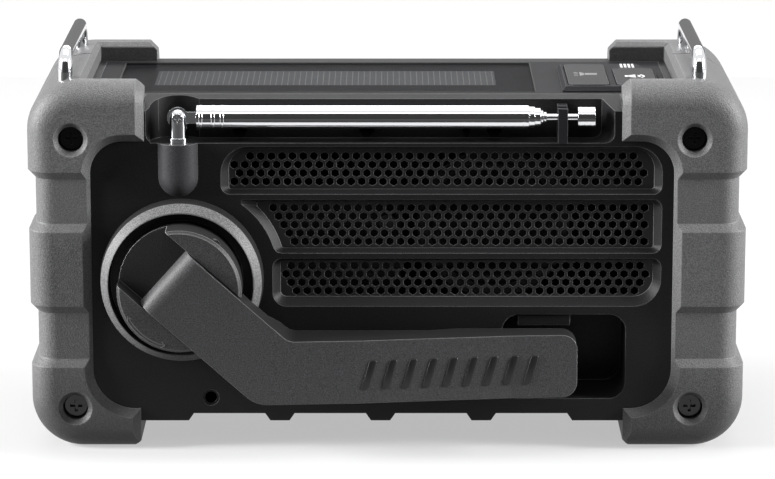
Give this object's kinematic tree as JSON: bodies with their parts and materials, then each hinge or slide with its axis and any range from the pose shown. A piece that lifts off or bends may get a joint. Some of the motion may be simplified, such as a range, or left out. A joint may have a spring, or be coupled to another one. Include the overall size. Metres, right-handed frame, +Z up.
{
  "type": "portable digital radio",
  "caption": "Portable digital radio with a folding hand crank, telescopic antenna, solar top, speaker grille, tuning dial and rubber end bumpers.",
  "frame": {"origin": "on the ground under the middle of the whole radio", "axes": "+X to the right and +Z up as one looks at the crank side, +Y into the radio"},
  "size_m": [0.21, 0.099, 0.1187],
  "materials": {
    "bumper_rubber": "fine leather grain, matt",
    "housing_plastic": "fine grain, satin black",
    "bezel_plastic": "fine grain, dark grey",
    "crank_plastic": "fine grain, dark grey",
    "chrome_plate": "polished",
    "screw_steel": "dark zinc",
    "pin_steel": "ground",
    "grille_metal": "black, perforated",
    "speaker_paper": "paper",
    "speaker_iron": "plain",
    "gear_plastic": "natural nylon",
    "panel_plastic": "glossy black",
    "solar_film": "dark, glossy",
    "solar_silicon": "dark blue strips",
    "key_rubber": "soft black",
    "lamp_clear": "clear light pipe",
    "board_laminate": "green laminate",
    "window_clear": "smoked clear",
    "display_glass": "liquid crystal",
    "battery_wrap": "wrapped cell",
    "lens_clear": "clear",
    "mirror_plastic": "vacuum metallised"
  },
  "bodies": {
    "chassis": {"bumper_left": "bumper_rubber", "bumper_right": "bumper_rubber", "strap_bar_left": "chrome_plate", "strap_bar_right": "chrome_plate", "bumper_screws": "screw_steel", "crank_side_housing": "housing_plastic", "display_side_housing": "housing_plastic", "speaker_grille": "grille_metal", "speaker_basket": "housing_plastic", "speaker_cone": "speaker_paper", "speaker_magnet": "speaker_iron", "crank_bezel": "bezel_plastic", "dynamo_case": "housing_plastic", "front_gear_plate": "gear_plastic", "rear_gear_plate": "gear_plastic", "antenna_post": "chrome_plate", "antenna_screw": "chrome_plate", "antenna_clip": "housing_plastic", "top_panel": "panel_plastic", "solar_cells": "solar_silicon", "solar_glass": "solar_film", "keypad_frame": "panel_plastic", "charge_lamps": "lamp_clear", "key_board": "board_laminate", "display_window": "window_clear", "display_module": "display_glass", "dial_encoder": "board_laminate", "main_board": "board_laminate", "battery_cell": "battery_wrap", "battery_holder": "housing_plastic", "headphone_jack": "housing_plastic", "side_sockets": "pin_steel", "cover_pin": "pin_steel", "torch_lens": "lens_clear", "torch_reflector": "mirror_plastic"},
    "crank_hub": {"crank_drum": "crank_plastic", "crank_hinge_pin": "pin_steel", "crank_shaft": "pin_steel", "drive_gear": "gear_plastic"},
    "folding_arm": {"crank_arm": "crank_plastic", "knob_pin": "pin_steel"},
    "knob_stem": {"knob_axle": "pin_steel"},
    "grip_knob": {"crank_knob": "crank_plastic"},
    "idler": {"idler_gear": "gear_plastic"},
    "rotor": {"rotor_pinion": "gear_plastic", "dynamo_rotor": "speaker_iron"},
    "mast_base": {"mast_knuckle": "chrome_plate", "mast_section_1": "chrome_plate"},
    "mast_middle": {"mast_section_2": "chrome_plate"},
    "mast_upper": {"mast_section_3": "chrome_plate"},
    "mast_tip": {"mast_rod": "chrome_plate"},
    "torch_button": {"torch_key": "key_rubber"},
    "call_button": {"call_key": "key_rubber"},
    "power_button": {"key_power": "key_rubber"},
    "band_button": {"key_band": "key_rubber"},
    "down_button": {"key_down": "key_rubber"},
    "up_button": {"key_up": "key_rubber"},
    "dial": {"tuning_dial": "crank_plastic"},
    "flap": {"socket_cover": "bumper_rubber"}
  },
  "joints": [
    {"name": "crank_spin", "type": "hinge", "parent": "chassis", "child": "crank_hub", "pos_m": [-0.0601, -0.0305, 0.0513], "axis": [0, -1, 0], "continuous": true},
    {"name": "crank_flip", "type": "hinge", "parent": "crank_hub", "child": "folding_arm", "pos_m": [-0.06107, -0.0446, 0.05217], "axis": [-0.6665, 0, -0.7455], "range_deg": [0, 180]},
    {"name": "knob_flip", "type": "hinge", "parent": "folding_arm", "child": "knob_stem", "pos_m": [0.0506, -0.03575, 0.0274], "axis": [0, 0, -1], "range_deg": [0, 90]},
    {"name": "knob_spin", "type": "hinge", "parent": "knob_stem", "child": "grip_knob", "pos_m": [0.042, -0.03575, 0.0274], "axis": [1, 0, 0], "continuous": true},
    {"name": "idler_spin", "type": "hinge", "parent": "chassis", "child": "idler", "pos_m": [-0.03385, -0.0105, 0.0513], "axis": [0, -1, 0], "continuous": true},
    {"name": "rotor_spin", "type": "hinge", "parent": "chassis", "child": "rotor", "pos_m": [-0.01135, 0.0035, 0.0513], "axis": [0, -1, 0], "continuous": true},
    {"name": "antenna_lift", "type": "hinge", "parent": "chassis", "child": "mast_base", "pos_m": [-0.0609, -0.0283, 0.0989], "axis": [0, -1, 0], "range_deg": [0, 105]},
    {"name": "mast_slide_1", "type": "slide", "parent": "mast_base", "child": "mast_middle", "axis": [1, 0, 0], "range_m": [0, 0.0127]},
    {"name": "mast_slide_2", "type": "slide", "parent": "mast_middle", "child": "mast_upper", "axis": [1, 0, 0], "range_m": [0, 0.0127]},
    {"name": "mast_slide_3", "type": "slide", "parent": "mast_upper", "child": "mast_tip", "axis": [1, 0, 0], "range_m": [0, 0.0127]},
    {"name": "dial_turn", "type": "hinge", "parent": "chassis", "child": "dial", "pos_m": [0.048, 0.0415, 0.0607], "axis": [0, 1, 0], "continuous": true},
    {"name": "cover_open", "type": "hinge", "parent": "chassis", "child": "flap", "pos_m": [-0.1017, 0.0095, 0.0318], "axis": [0, -1, 0], "range_deg": [0, 90]},
    {"name": "torch_press", "type": "slide", "parent": "chassis", "child": "torch_button", "axis": [0, 0, -1], "range_m": [0, 0.0006], "stiffness_N_per_m": 900, "springref_m": -0.0005},
    {"name": "call_press", "type": "slide", "parent": "chassis", "child": "call_button", "axis": [0, 0, -1], "range_m": [0, 0.0006], "stiffness_N_per_m": 900, "springref_m": -0.0005},
    {"name": "power_press", "type": "slide", "parent": "chassis", "child": "power_button", "axis": [0, -1, 0], "range_m": [0, 0.0007], "stiffness_N_per_m": 900, "springref_m": -0.0005},
    {"name": "band_press", "type": "slide", "parent": "chassis", "child": "band_button", "axis": [0, -1, 0], "range_m": [0, 0.0007], "stiffness_N_per_m": 900, "springref_m": -0.0005},
    {"name": "down_press", "type": "slide", "parent": "chassis", "child": "down_button", "axis": [0, -1, 0], "range_m": [0, 0.0007], "stiffness_N_per_m": 900, "springref_m": -0.0005},
    {"name": "up_press", "type": "slide", "parent": "chassis", "child": "up_button", "axis": [0, -1, 0], "range_m": [0, 0.0007], "stiffness_N_per_m": 900, "springref_m": -0.0005}
  ],
  "couplings": [
    {"joint": "idler_spin", "follows": "crank_spin", "ratio": -4},
    {"joint": "rotor_spin", "follows": "crank_spin", "ratio": 16},
    {"joint": "mast_slide_1", "follows": "antenna_lift", "m_per_rad": 0.0068755},
    {"joint": "mast_slide_2", "follows": "antenna_lift", "m_per_rad": 0.0068755},
    {"joint": "mast_slide_3", "follows": "antenna_lift", "m_per_rad": 0.0068755}
  ]
}
